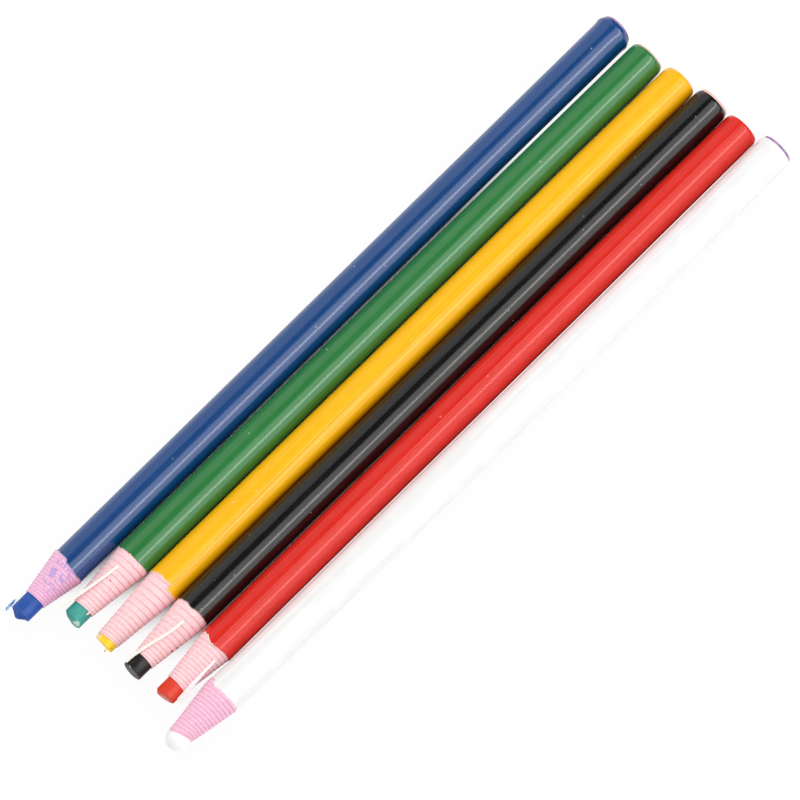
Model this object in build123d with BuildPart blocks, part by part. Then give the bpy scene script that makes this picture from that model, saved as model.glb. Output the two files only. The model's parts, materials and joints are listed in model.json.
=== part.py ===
from build123d import *
import os
from dataclasses import dataclass
from math import copysign, cos, degrees, hypot, radians, sin, tan

# A set of six peel-off china markers, lying side by side on a table.
# Each one is a wax core, wound round with one long paper strip, with a pull string
# buried in the paper and a lacquered sleeve glued over it. Sizes are millimetres.
# X runs from the tips to the back ends, +Y is the blue side, +Z is up.

os.makedirs("parts", exist_ok=True)

# Barrel, the same across every marker
barrel_diameter = 8.0
core_diameter = 4.5
glue_gap = 0.03

# Sleeve: a lacquered sheet rolled round the paper, with its long edge lapped over
sleeve_wall = 0.15
seam_width = 2.4
seam_rise = 0.08

# Paper strip: its front edge climbs the bared cone in one spiral step
first_layer = 0.2
step_rise = 0.12
step_depth = 0.1
step_share = 0.7
bare_half_turns = 3

# Pull string: it runs at a share of the paper's depth and comes out through a slit in the cone
string_diameter = 0.55
string_share = 0.43
string_room = 0.05
exit_slope = 60.0
exit_proud = 0.15
bend_share = 0.45

# Row: the gaps between barrels are given at the back ends and this far ahead of them
gap_stations = 150.0


@dataclass
class Tail:
    """Free end of a pull string: its exit ahead of the sleeve, and the points it passes.

    Each point is ahead of the exit, turned from the top and clear of the surface below it.
    """

    exit_ahead: float
    route: list


@dataclass
class Marker:
    """One marker: lengths along its axis, and turns in degrees from the top to the white side."""

    name: str
    # Sleeve, bared paper and bared wax, from the back end to the tip
    sleeve_length: float
    cone_length: float
    tip_length: float
    # Worn end of the wax: its length, its flat as a share of the core, its bulge and its slant
    nose_length: float
    nose_face: float
    nose_bulge: float
    nose_slant: float
    # Paper edges on the cone, and the paper and wax that stand out behind the sleeve
    paper_turns: int
    paper_proud: float
    # Lapped edge of the sleeve, and the part of its front edge that reaches further
    seam_turn: float
    flap_length: float
    flap_turn: float
    flap_arc: float
    # Pull string
    string_turn: float
    tail: Tail
    # Place in the row: back end past the blue one's, and room to the marker on the blue side
    back_stagger: float
    front_gap: float
    back_gap: float


MARKERS = [
    Marker(
        name="blue",
        sleeve_length=161.2,
        cone_length=9.8,
        tip_length=5.1,
        nose_length=0.8,
        nose_face=0.45,
        nose_bulge=0.12,
        nose_slant=0.0,
        paper_turns=16,
        paper_proud=0.35,
        seam_turn=5.0,
        flap_length=0.95,
        flap_turn=5.0,
        flap_arc=170.0,
        string_turn=150.0,
        tail=None,
        back_stagger=0.0,
        front_gap=0.0,
        back_gap=0.0,
    ),
    Marker(
        name="green",
        sleeve_length=151.7,
        cone_length=14.2,
        tip_length=3.3,
        nose_length=0.6,
        nose_face=0.75,
        nose_bulge=0.15,
        nose_slant=-9.0,
        paper_turns=13,
        paper_proud=0.3,
        seam_turn=-60.0,
        flap_length=0.3,
        flap_turn=20.0,
        flap_arc=60.0,
        string_turn=-7.7,
        tail=Tail(exit_ahead=3.2, route=[(7.2, -26.6, 0.88), (14.4, -51.1, 1.41)]),
        back_stagger=0.2,
        front_gap=0.44,
        back_gap=0.96,
    ),
    Marker(
        name="yellow",
        sleeve_length=151.3,
        cone_length=16.8,
        tip_length=1.2,
        nose_length=0.4,
        nose_face=0.84,
        nose_bulge=0.1,
        nose_slant=0.0,
        paper_turns=13,
        paper_proud=0.15,
        seam_turn=28.6,
        flap_length=1.4,
        flap_turn=28.6,
        flap_arc=150.0,
        string_turn=-120.0,
        tail=None,
        back_stagger=1.1,
        front_gap=0.12,
        back_gap=0.39,
    ),
    Marker(
        name="black",
        sleeve_length=152.9,
        cone_length=13.7,
        tip_length=3.9,
        nose_length=1.0,
        nose_face=0.62,
        nose_bulge=0.25,
        nose_slant=-9.0,
        paper_turns=14,
        paper_proud=0.45,
        seam_turn=-40.0,
        flap_length=0.3,
        flap_turn=60.0,
        flap_arc=80.0,
        string_turn=18.6,
        tail=Tail(
            exit_ahead=2.85,
            route=[(6.4, -1.7, 0.48), (11.1, -21.8, 0.71), (14.5, -39.1, 0.52)],
        ),
        back_stagger=2.05,
        front_gap=0.15,
        back_gap=0.27,
    ),
    Marker(
        name="red",
        sleeve_length=155.4,
        cone_length=10.9,
        tip_length=3.9,
        nose_length=0.7,
        nose_face=0.69,
        nose_bulge=0.12,
        nose_slant=14.0,
        paper_turns=14,
        paper_proud=0.05,
        seam_turn=3.0,
        flap_length=0.5,
        flap_turn=-14.0,
        flap_arc=24.0,
        string_turn=45.3,
        tail=Tail(exit_ahead=2.35, route=[(5.6, 54.3, 1.13), (11.2, 64.8, 1.62)]),
        back_stagger=2.6,
        front_gap=0.49,
        back_gap=0.19,
    ),
    Marker(
        name="white",
        sleeve_length=163.1,
        cone_length=11.5,
        tip_length=3.0,
        nose_length=2.0,
        nose_face=0.22,
        nose_bulge=0.5,
        nose_slant=0.0,
        paper_turns=12,
        paper_proud=0.5,
        seam_turn=-27.0,
        flap_length=0.2,
        flap_turn=10.0,
        flap_arc=120.0,
        string_turn=130.0,
        tail=None,
        back_stagger=3.7,
        front_gap=0.64,
        back_gap=0.6,
    ),
]

# Sizes that follow from those above
barrel_radius = barrel_diameter / 2
core_radius = core_diameter / 2
bore_radius = core_radius + glue_gap
wrap_radius = barrel_radius - sleeve_wall - glue_gap
cone_front_radius = bore_radius + first_layer
cone_back_radius = wrap_radius - step_rise
string_radius = string_diameter / 2
run_radius = bore_radius + string_share * (wrap_radius - bore_radius)
tail_lift = string_radius + string_room
seam_arc = degrees(seam_width / barrel_radius)


def front_end(m):
    """Place of the wax tip on the marker's axis, ahead of the sleeve's back end."""
    return -(m.sleeve_length + m.cone_length + m.tip_length)


def cone_radius(m, ahead):
    """Radius of the paper cone at a distance ahead of the sleeve."""
    return cone_back_radius - (cone_back_radius - cone_front_radius) * ahead / m.cone_length


def surface_radius(m, ahead):
    """Radius of what lies bare at a distance ahead of the sleeve, paper or wax."""
    return cone_radius(m, ahead) if ahead < m.cone_length else core_radius


# The row, set out from the white marker to the blue one and then centred on the origin
row_low = min(m.back_stagger + front_end(m) for m in MARKERS)
row_high = max(m.back_stagger + m.paper_proud for m in MARKERS)
row_shift = -(row_low + row_high) / 2
others = MARKERS[1:]
row_front = sum(barrel_diameter + m.front_gap for m in others)
row_back = sum(barrel_diameter + m.back_gap for m in others)
side_shift = -max(row_front, row_back) / 2

axis_planes = {}
place_front = side_shift
place_back = side_shift
for m in reversed(MARKERS):
    along = Vector(gap_stations, place_back - place_front, 0).normalized()
    back_x = m.back_stagger
    back_y = place_back + (place_back - place_front) * back_x / gap_stations
    origin = (back_x + row_shift, back_y, barrel_radius)
    white_side = Vector(along.Y, -along.X, 0)
    # Local x runs from tip to back, y is up and z points to the white side
    axis_planes[m.name] = Plane(origin=origin, x_dir=along, z_dir=white_side)
    place_front += barrel_diameter + m.front_gap
    place_back += barrel_diameter + m.back_gap


def bend_radii(points):
    """Largest even radius for each corner of a string's route."""
    radii = []
    for before, here, after in zip(points, points[1:], points[2:]):
        coming = here - before
        going = after - here
        half_turn = radians(coming.get_angle(going)) / 2
        radii.append(bend_share * min(coming.length, going.length) / tan(half_turn))
    return radii


def write(part, name):
    """Label a finished piece and write it to its own file."""
    part.label = name
    export_step(part, f"parts/{name}.step")


def make_core(m, plane, axis):
    """Wax core: a round stick, worn at the tip and cut square at the back."""
    tip = front_end(m)
    shoulder = tip + m.nose_length
    face_radius = m.nose_face * core_radius
    with BuildPart() as core:
        with BuildSketch(plane):
            with BuildLine():
                Polyline((m.paper_proud, core_radius), (m.paper_proud, 0), (tip, 0), (tip, face_radius))
                SagittaArc((tip, face_radius), (shoulder, core_radius), m.nose_bulge)
                Line((shoulder, core_radius), (m.paper_proud, core_radius))
            make_face()
        revolve(axis=axis)
        if m.nose_slant:
            # A slant takes off the white side of the tip, or the blue side where it is negative
            side = copysign(core_radius, -m.nose_slant)
            kept_edge = plane.from_local_coords(Vector(tip, 0, side))
            slant = radians(m.nose_slant)
            outward = plane.z_dir * sin(slant) - plane.x_dir * cos(slant)
            split(bisect_by=Plane(origin=kept_edge, z_dir=outward), keep=Keep.BOTTOM)
    write(core.part, f"{m.name}_core")


def string_path_points(m, plane, past=0.0):
    """Route of the buried string, from the back end to its slit or to its torn-off end."""
    back = plane.from_local_coords(Vector(m.paper_proud + past, run_radius, 0))
    if m.tail is None:
        return [back, plane.from_local_coords(Vector(-m.sleeve_length - past, run_radius, 0))]
    slope = radians(exit_slope)
    out = cone_radius(m, m.tail.exit_ahead) + exit_proud
    mouth = -(m.sleeve_length + m.tail.exit_ahead)
    corner = mouth + (out - run_radius) / tan(slope)
    mouth -= past * cos(slope)
    out += past * sin(slope)
    return [
        back,
        plane.from_local_coords(Vector(corner, run_radius, 0)),
        plane.from_local_coords(Vector(mouth, out, 0)),
    ]


def string_solid(points, radius, mode=Mode.ADD):
    """Round tube along a buried string's route, added to or cut from the open part."""
    with BuildLine() as path:
        if len(points) == 2:
            Line(*points)
        else:
            FilletPolyline(*points, radius=bend_radii(points))
    with BuildSketch(Plane(origin=path.line @ 0, z_dir=path.line % 0)) as section:
        Circle(radius)
    sweep(section.sketch, path=path.line, mode=mode)


def spiral_arcs(m, pitch):
    """Half turns of the paper's edge up the cone, each from the top to the bottom or back."""
    ahead = m.cone_length - pitch * step_share
    half_turns = 2 * m.paper_turns - bare_half_turns
    stops = []
    for k in range(half_turns + 1):
        here = ahead - k * pitch / 2
        side = 1 if k % 2 == 0 else -1
        stops.append((-(m.sleeve_length + here), side * cone_radius(m, here)))
    arcs = []
    for k, (start, end) in enumerate(zip(stops, stops[1:])):
        reach = hypot(end[0] - start[0], end[1] - start[1]) / 2
        side = 1 if k % 2 == 0 else -1
        middle = ((start[0] + end[0]) / 2, (start[1] + end[1]) / 2, side * reach)
        arcs.append((start, middle, end))
    return arcs


def make_wrap(m, plane, axis):
    """Paper strip wound round the core: a long roll with a stepped cone at its front."""
    sleeve_front = -m.sleeve_length
    cone_front = sleeve_front - m.cone_length
    pitch = m.cone_length / m.paper_turns
    with BuildPart() as wrap:
        with BuildSketch(plane):
            with BuildLine():
                Polyline(
                    (cone_front, bore_radius),
                    (cone_front, cone_front_radius),
                    (sleeve_front, cone_back_radius),
                    (sleeve_front, wrap_radius),
                    (m.paper_proud, wrap_radius),
                    (m.paper_proud, bore_radius),
                    close=True,
                )
            make_face()
        revolve(axis=axis)
        # The strip's edge: one step that climbs the cone in an unbroken spiral of half turns
        with BuildLine(plane) as spiral:
            for start, middle, end in spiral_arcs(m, pitch):
                ThreePointArc(start, middle, end)
        step_plane = Plane(origin=spiral.line @ 0, x_dir=plane.y_dir, z_dir=spiral.line % 0)
        with BuildSketch(step_plane):
            with BuildLine():
                Polyline(
                    (-step_depth, 0),
                    (step_rise, 0),
                    (-step_depth, -pitch * step_share),
                    close=True,
                )
            make_face()
        sweep(path=spiral.line, normal=plane.x_dir)
        turned = plane.rotated((m.string_turn, 0, 0))
        channel = string_path_points(m, turned, past=string_diameter)
        string_solid(channel, string_radius + string_room, Mode.SUBTRACT)
    write(wrap.part, f"{m.name}_paper_wrap")


def make_string(m, plane):
    """Pull string, buried in the paper for its whole length."""
    turned = plane.rotated((m.string_turn, 0, 0))
    with BuildPart() as string:
        string_solid(string_path_points(m, turned), string_radius)
    write(string.part, f"{m.name}_pull_string")


def make_tail(m, plane):
    """Free end of the pull string, hinged where it leaves the slit."""
    turned = plane.rotated((m.string_turn, 0, 0))
    run = string_path_points(m, turned)
    heading = (run[2] - run[1]).normalized()
    pivot = run[2] + heading * tail_lift
    exit_place = -(m.sleeve_length + m.tail.exit_ahead)
    points = [pivot]
    for ahead, turn, clear in m.tail.route:
        out = surface_radius(m, m.tail.exit_ahead + ahead) + clear
        place = Vector(exit_place - ahead, out * cos(radians(turn)), out * sin(radians(turn)))
        points.append(plane.from_local_coords(place))
    with BuildPart() as tail:
        with BuildLine() as path:
            FilletPolyline(*points, radius=bend_radii(points))
        with BuildSketch(Plane(origin=path.line @ 0, z_dir=path.line % 0)):
            Circle(string_radius)
        sweep(path=path.line)
    lift_axis = (points[-1] - pivot).cross(Vector(0, 0, 1)).normalized()
    print(f"{m.name} tail pivot {tuple(pivot)} lifts about {tuple(lift_axis)}")
    write(tail.part, f"{m.name}_string_tail")


def sheet_outline(inner, outer, turn, arc):
    """Curved strip seen from its end, between two radii, from a turn through an arc."""
    first = Vector(1, 0).rotate(Axis.Z, turn)
    last = Vector(1, 0).rotate(Axis.Z, turn + arc)
    with BuildLine() as outline:
        CenterArc((0, 0), inner, turn, arc)
        Line(first * inner, first * outer)
        CenterArc((0, 0), outer, turn, arc)
        Line(last * inner, last * outer)
    make_face(outline.edges())


def make_sleeve(m, plane):
    """Lacquered sleeve: a rolled sheet with a lapped seam and an uneven front edge."""
    inner = barrel_radius - sleeve_wall
    front = plane.from_local_coords(Vector(-m.sleeve_length, 0, 0))
    front_plane = Plane(origin=front, x_dir=plane.y_dir, z_dir=plane.x_dir)
    with BuildPart() as sleeve:
        with BuildSketch(front_plane):
            Circle(barrel_radius)
            sheet_outline(inner, barrel_radius + seam_rise, m.seam_turn - seam_arc, seam_arc)
            Circle(inner, mode=Mode.SUBTRACT)
        extrude(amount=m.sleeve_length)
        with BuildSketch(front_plane):
            sheet_outline(inner, barrel_radius, m.flap_turn, m.flap_arc)
        extrude(amount=-m.flap_length)
    write(sleeve.part, f"{m.name}_sleeve")


for m in MARKERS:
    plane = axis_planes[m.name]
    axis = Axis(origin=plane.origin, direction=plane.x_dir)
    make_core(m, plane, axis)
    make_wrap(m, plane, axis)
    make_string(m, plane)
    make_sleeve(m, plane)
    if m.tail is not None:
        make_tail(m, plane)
    back_face = plane.from_local_coords(Vector(m.paper_proud, 0, 0))
    print(f"{m.name} back face {tuple(back_face)} axis {tuple(plane.x_dir)}")
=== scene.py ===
import json
from math import atan2, cos, degrees, pi, radians, sin, tan, tau

import bmesh
import bpy
from mathutils import Matrix, Vector, noise


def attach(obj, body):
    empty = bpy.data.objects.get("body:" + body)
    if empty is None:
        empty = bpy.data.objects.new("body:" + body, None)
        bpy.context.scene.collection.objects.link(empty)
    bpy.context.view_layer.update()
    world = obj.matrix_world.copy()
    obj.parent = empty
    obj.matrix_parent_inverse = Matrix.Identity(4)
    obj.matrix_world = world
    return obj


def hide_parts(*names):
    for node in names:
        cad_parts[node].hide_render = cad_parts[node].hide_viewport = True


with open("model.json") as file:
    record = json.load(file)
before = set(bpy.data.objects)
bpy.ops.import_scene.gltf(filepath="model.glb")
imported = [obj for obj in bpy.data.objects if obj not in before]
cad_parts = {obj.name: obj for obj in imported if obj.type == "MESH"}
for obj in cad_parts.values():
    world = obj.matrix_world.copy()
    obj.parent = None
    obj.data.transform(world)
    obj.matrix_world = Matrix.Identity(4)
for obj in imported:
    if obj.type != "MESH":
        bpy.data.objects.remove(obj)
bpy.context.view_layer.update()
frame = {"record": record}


# The row of markers
# Six loose peel-off markers lie side by side on a table, tips to the left. The record gives each one's
# back end and the way it points. On a marker, lengths are millimetres ahead of the sleeve's back end,
# and turns are degrees from the top towards the white marker's side.

COLOURS = ["blue", "green", "yellow", "black", "red", "white"]
MM = 0.001
# How far the core and the paper stand out behind the sleeve
PAPER_PROUD = dict(blue=0.35, green=0.3, yellow=0.15, black=0.45, red=0.05, white=0.5)
# Height of a marker's axis over the table, which presses flat whatever would reach below it
AXIS_HEIGHT = 4.0

# Sideways bow of a marker that isn't quite straight, at its back end, middle and tip
MARKER_LENGTH = 170
SAG = dict(
    green=(0.0, -0.05, 0.0),
    yellow=(0.0, 0.0, 0.14),
    black=(0.0, 0.0, 0.12),
    white=(-0.35, 0.22, -0.6),
)
# Degrees by which the back end is cut askew, top longest, how much longer the back end is cut than the
# record has it, and how far ahead both reach
ASKEW = dict(blue=8)
CUT_LONGER = dict(blue=0.05, green=0.3, yellow=0.35, black=0.35, red=0.12, white=0.25)
CUT_REACH = 3.0


def marker_place(colour):
    """Matrix from a marker's own millimetres (ahead, white side, up) to the table in metres."""
    mount = next(m for m in frame["record"]["mounts"] if m["name"] == colour + "_back_end")
    back = Vector(mount["axis"])
    up = Vector((0, 0, 1))
    place = Matrix((-back, back.cross(up), up)).transposed().to_4x4()
    place.translation = Vector(mount["pos_m"]) - back * PAPER_PROUD[colour] * MM
    return place @ Matrix.Scale(MM, 4)


PLACES = {colour: marker_place(colour) for colour in COLOURS}


def as_it_lies(colour, point):
    """A point of the straight marker, moved with its bow and its own back end."""
    back, middle, tip = SAG.get(colour, (0, 0, 0))
    share = point.x / MARKER_LENGTH
    side = back * (1 - share) * (1 - 2 * share) + 4 * middle * share * (1 - share)
    side += tip * share * (2 * share - 1)
    longer = CUT_LONGER[colour] + tan(radians(ASKEW.get(colour, 0))) * point.z
    return point + Vector((-longer * max(0.0, 1 - point.x / CUT_REACH), side, 0))


def spot(ahead, turn, out):
    """Point on a marker, at a length ahead, a turn from the top and a distance from the axis."""
    return Vector((ahead, out * sin(radians(turn)), out * cos(radians(turn))))


def between(points, at):
    """Value at a place on a line given by (place, value) pairs."""
    if at <= points[0][0]:
        return points[0][1]
    for (x0, y0), (x1, y1) in zip(points, points[1:]):
        if at <= x1:
            return y0 + (y1 - y0) * (at - x0) / (x1 - x0)
    return points[-1][1]


def put_on(colour, name, mesh, finish, slot, *nodes, body=None):
    """Lays a finished mesh on its marker in place of its solids, in its own finish."""
    mesh.name = name
    for vertex in mesh.vertices:
        vertex.co = as_it_lies(colour, vertex.co)
        vertex.co.z = max(vertex.co.z, -AXIS_HEIGHT)
    mesh.transform(PLACES[colour])
    mesh.materials.clear()
    mesh.materials.append(finish)
    piece = bpy.data.objects.new(name, mesh)
    bpy.context.scene.collection.objects.link(piece)
    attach(piece, body or colour + "_marker")
    if nodes:
        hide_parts(*nodes)
    return piece


# Wax cores
# A round stick of pigmented wax, cast and cut square at the back. Its bared tip is worn by use: blunt,
# slanted or domed, with soft edges and fine scratches from rubbing.

CORE_RADIUS = 2.25
CORE_POINTS = 120
# Rounding of the rim at the worn tip and at the back, and the depth of the tip's dents and rubbed side
CORE_RIM = 0.07
BACK_RIM = 0.06
TIP_DENT = 0.06
SIDE_RUB = 0.02
TIP = dict(blue=176.5, green=169.6, yellow=169.5, black=170.3, red=170.2, white=177.75)

# Drop of the worn end from its middle to its rim: (share of the radius, millimetres)
WORN_END = dict(
    blue=[(0, 0), (0.1, 0.02), (0.2, 0.14), (0.75, 1.2)],
    green=[(0, 0), (0.55, 0.04), (0.75, 0.15), (0.9, 0.34), (1, 0.56)],
    yellow=[(0, 0), (0.8, 0.04), (1, 0.14)],
    black=[(0, 0), (0.88, 0.04), (1, 0.12)],
    red=[(0, 0), (0.85, 0.04), (1, 0.14)],
    white=[(0, 0), (0.2, 0.04), (0.4, 0.2), (0.6, 0.5), (0.8, 1.0), (0.92, 1.5), (1, 2.1)],
)
# Slant of the worn end in degrees, and the turn of the side that stays longest
WORN_SLANT = dict(
    blue=(4, -80),
    green=(9, 100),
    yellow=(8, 20),
    black=(5, 170),
    red=(9, -95),
    white=(3, 90),
)
# The blue end is rubbed into flats, and the red one's blue side is rubbed off at a slope
FLATS = dict(blue=5)
RUBBED_SIDE = dict(red=(1.75, 1.2))
# Soft white wax has smeared out over the paper's front edge
SMEARED = dict(white=0.32)
SMEAR_RUN = 0.6

# Length of the sleeve, and of the bared cone ahead of it
SLEEVE = dict(blue=161.2, green=151.7, yellow=151.3, black=152.9, red=155.4, white=163.1)
CONE = dict(blue=9.7, green=14.0, yellow=16.5, black=13.7, red=10.9, white=11.3)
# Slant of the paper's front edge in millimetres either way, and the turn of the side furthest ahead
PAPER_SLANT = dict(
    blue=(0.1, -60),
    green=(0.15, -70),
    yellow=(0.3, -80),
    black=(0.05, 120),
    red=(0.1, 90),
    white=(0.78, -70),
)


def paper_front(colour, turn):
    """How far ahead the paper's front edge lies at a turn."""
    slant, furthest = PAPER_SLANT[colour]
    return SLEEVE[colour] + CONE[colour] + slant * cos(radians(turn - furthest))


def worn_end(colour, share, turn):
    """How far ahead the worn end reaches, at a share of the radius and a turn."""
    reach = share
    if colour in FLATS:
        flat = 360 / FLATS[colour]
        reach = share * cos(radians(turn % flat - flat / 2))
    slant, longest = WORN_SLANT[colour]
    lost = tan(radians(slant)) * CORE_RADIUS * (1 - share * cos(radians(turn - longest)))
    edge, slope = RUBBED_SIDE.get(colour, (CORE_RADIUS, 0))
    rubbed = slope * max(0.0, -CORE_RADIUS * share * sin(radians(turn)) - edge)
    dent = TIP_DENT * noise.noise(spot(TIP[colour], turn, 2.4 * share + 0.3)) * min(1, 2 - 2 * share)
    return TIP[colour] - between(WORN_END[colour], reach) - lost - rubbed + dent


def core_out(colour, ahead, turn):
    """Radius of the core, with the wax that has smeared out ahead of the paper."""
    run = min(1.0, max(0.0, (ahead - paper_front(colour, turn)) / SMEAR_RUN))
    return CORE_RADIUS + SMEARED.get(colour, 0) * run * run * (3 - 2 * run)


def ring_skin(rings, closed, **values):
    """Skin over rings of points, joined from the last back to the first or with a fan at each end.

    Each named value is stored on the points, and given as one list a ring.
    """
    count = len(rings[0])
    points = [p for ring in rings for p in ring]
    pairs = list(zip(range(len(rings)), range(1, len(rings))))
    if closed:
        pairs.append((len(rings) - 1, 0))
    faces = []
    for a, b in pairs:
        for i in range(count):
            j = (i + 1) % count
            faces.append((a * count + i, a * count + j, b * count + j, b * count + i))
    if not closed:
        for ring in (0, len(rings) - 1):
            points.append(sum(rings[ring], Vector()) / count)
            for i in range(count):
                faces.append((ring * count + i, ring * count + (i + 1) % count, len(points) - 1))
    mesh = bpy.data.meshes.new("skin")
    mesh.from_pydata(points, [], faces)
    for name, lists in values.items():
        stored = mesh.attributes.new(name, "FLOAT", "POINT")
        stored.data.foreach_set("value", [v for ring in lists for v in ring])
    return tidy_mesh(mesh)


# Points closer than this are one, and thinner slivers are dropped
MERGED = 0.0004
SLIVER = 0.0002


def tidy_mesh(mesh, sharp=40):
    """Merges doubled points, turns every face outwards and shades it smooth between sharp edges."""
    work = bmesh.new()
    work.from_mesh(mesh)
    bmesh.ops.remove_doubles(work, verts=work.verts, dist=MERGED)
    bmesh.ops.dissolve_degenerate(work, edges=work.edges, dist=SLIVER)
    stray = [edge for edge in work.edges if not edge.link_faces]
    bmesh.ops.delete(work, geom=stray, context="EDGES")
    bmesh.ops.recalc_face_normals(work, faces=work.faces)
    for face in work.faces:
        face.smooth = True
    work.to_mesh(mesh)
    work.free()
    mesh.set_sharp_from_angle(angle=radians(sharp))
    return mesh


def wax_stick(colour):
    """The whole core, as rings from its back end to the middle of its worn tip."""
    turns = [360 * i / CORE_POINTS for i in range(CORE_POINTS)]
    back = -PAPER_PROUD[colour]
    square_end = [
        (back, 0.4),
        (back, 1.3),
        (back, CORE_RADIUS - BACK_RIM),
        (back + BACK_RIM, CORE_RADIUS),
    ]
    rings = [[spot(ahead, t, out) for t in turns] for ahead, out in square_end]
    for behind in [8, 6.5, 5.2, 4.2, 3.4, 2.7, 2.1, 1.7, 1.4, 1.1, 0.85, 0.6, 0.4, 0.2]:
        ring = []
        for t in turns:
            ahead = worn_end(colour, 1, t) - CORE_RIM - behind
            rub = SIDE_RUB * noise.noise(spot(ahead * 0.9, t, 1.4))
            ring.append(spot(ahead, t, core_out(colour, ahead, t) - abs(rub)))
        rings.append(ring)
    for part in range(5):
        arc = pi / 2 * part / 4
        share = 1 - CORE_RIM * (1 - cos(arc)) / CORE_RADIUS
        drop = CORE_RIM * (1 - sin(arc))
        rings.append([end_spot(colour, share, t, drop) for t in turns])
    for share in [0.95, 0.92, 0.89, 0.84, 0.78, 0.7, 0.64, 0.58, 0.5, 0.4, 0.3, 0.2, 0.1, 0.04]:
        rings.append([end_spot(colour, share, t) for t in turns])
    return ring_skin(rings, closed=False)


def end_spot(colour, share, turn, drop=0.0):
    """Point on the worn end, at a share of the core's radius and a turn."""
    rim = core_out(colour, worn_end(colour, 1, turn), turn)
    return spot(worn_end(colour, share, turn) - drop, turn, rim * share)


class Field:
    """A value in a node tree. Sums on it add Math nodes, and node() adds any other kind."""

    def __init__(self, tree, socket=None):
        self.tree = tree
        self.socket = socket

    def node(self, kind, settings=None, sockets=None, output=0):
        """Adds a node: its settings first, then a value or a link for each named socket."""
        made = self.tree.nodes.new(kind)
        for name, value in (settings or {}).items():
            setattr(made, name, value)
        for name, value in (sockets or {}).items():
            if isinstance(value, Field):
                self.tree.links.new(value.socket, made.inputs[name])
            else:
                made.inputs[name].default_value = value
        return Field(self.tree, made.outputs[output])

    def also(self, output):
        """Another output of the node that this value comes from."""
        return Field(self.tree, self.socket.node.outputs[output])

    def math(self, operation, *others):
        values = dict(enumerate((self, *others)))
        return self.node("ShaderNodeMath", dict(operation=operation), values)

    def __add__(self, other):
        return self.math("ADD", other)

    def __radd__(self, other):
        return self.math("ADD", other)

    def __sub__(self, other):
        return self.math("SUBTRACT", other)

    def __rsub__(self, other):
        return (self * -1) + other

    def __mul__(self, other):
        return self.math("MULTIPLY", other)

    def __rmul__(self, other):
        return self.math("MULTIPLY", other)

    def __truediv__(self, other):
        return self.math("DIVIDE", other)

    def held(self, low=0.0, high=1.0):
        return self.math("MAXIMUM", low).math("MINIMUM", high)

    def rise(self, low, high):
        """Goes from 0 to 1 as the value goes from low to high, with soft ends."""
        return self.node(
            "ShaderNodeMapRange",
            dict(interpolation_type="SMOOTHSTEP"),
            {"Value": self, "From Min": low, "From Max": high},
        )

    def tint(self, first, second):
        """Mixes two colours by this value."""
        return self.node(
            "ShaderNodeMix", dict(data_type="RGBA"), {"Factor": self, 6: first, 7: second}, output=2
        )


def new_finish(name):
    """An empty material with a start for its sums, its shader and its surface coordinates."""
    finish = bpy.data.materials.new(name)
    finish.use_nodes = True
    tree = finish.node_tree
    shader = tree.nodes["Principled BSDF"]
    start = Field(tree)
    return finish, start, shader, start.node("ShaderNodeTexCoord", output="Object")


def grain(where, scale, detail=2.0, roughness=0.5, stretch=None):
    """Noise of a size in marks per millimetre, drawn out along the marker where stretch is given."""
    if stretch:
        where = where.node("ShaderNodeMapping", None, {"Vector": where, "Scale": stretch})
    return where.node(
        "ShaderNodeTexNoise",
        None,
        {"Vector": where, "Scale": scale / MM, "Detail": detail, "Roughness": roughness},
    )


def link(start, shader, **sockets):
    """Feeds the shader's named sockets, with _ for a space, by links or with plain values."""
    for name, value in sockets.items():
        socket = shader.inputs[name.replace("_", " ")]
        if isinstance(value, Field):
            start.tree.links.new(value.socket, socket)
        else:
            socket.default_value = value


def bumped(height, strength, depth):
    """Normal of a surface with that height in millimetres."""
    return height.node(
        "ShaderNodeBump", None, {"Height": height, "Strength": strength, "Distance": depth * MM}
    )


def mark(where, tone, colour, point, size, dye, strength=1.0):
    """A worn or stained patch on a tone, with a ragged edge, round a point of the marker."""
    place = PLACES[colour] @ as_it_lies(colour, Vector(point))
    away = where.node(
        "ShaderNodeVectorMath", dict(operation="DISTANCE"), {0: where, 1: place}, output="Value"
    )
    ragged = away / MM + (grain(where, 1.6 / size ** 0.5, 3) - 0.5) * 0.8 * size
    return ((1 - ragged.rise(0.6 * size, size)) * strength).tint(tone, dye)


# Colour of the wax, and where it is rubbed
WAX = dict(
    blue=((0.006, 0.068, 0.36, 1), (0.025, 0.125, 0.45, 1)),
    green=((0.03, 0.33, 0.27, 1), (0.08, 0.42, 0.36, 1)),
    yellow=((0.97, 0.62, 0.0, 1), (1.0, 0.7, 0.04, 1)),
    black=((0.01, 0.009, 0.0095, 1), (0.045, 0.04, 0.04, 1)),
    red=((0.73, 0.03, 0.005, 1), (0.78, 0.055, 0.014, 1)),
    white=((0.98, 0.975, 0.97, 1), (0.99, 0.985, 0.98, 1)),
)
# Worn patches: place (ahead, white side, up), size, colour and strength
WORN_PATCHES = dict(
    green=[
        ((169.2, 1.45, 1.1), 0.95, (0.6, 0.8, 0.73, 1), 0.85),
        ((169.22, 1.55, 0.95), 0.25, (0.02, 0.2, 0.15, 1), 0.7),
    ],
    yellow=[
        ((168.9, -1.7, 1.5), 1.1, (0.96, 0.78, 0.45, 1), 0.85),
        ((168.7, 1.9, 1.0), 0.3, (0.5, 0.27, 0.0, 1), 0.8),
    ],
    black=[
        ((169.95, 0.0, -0.2), 2.1, (0.085, 0.088, 0.092, 1), 1.0),
        ((170.0, -0.6, 1.9), 0.45, (0.4, 0.42, 0.43, 1), 0.8),
    ],
    red=[((169.8, 0.2, -0.6), 1.5, (0.84, 0.3, 0.22, 1), 0.8)],
)


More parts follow.
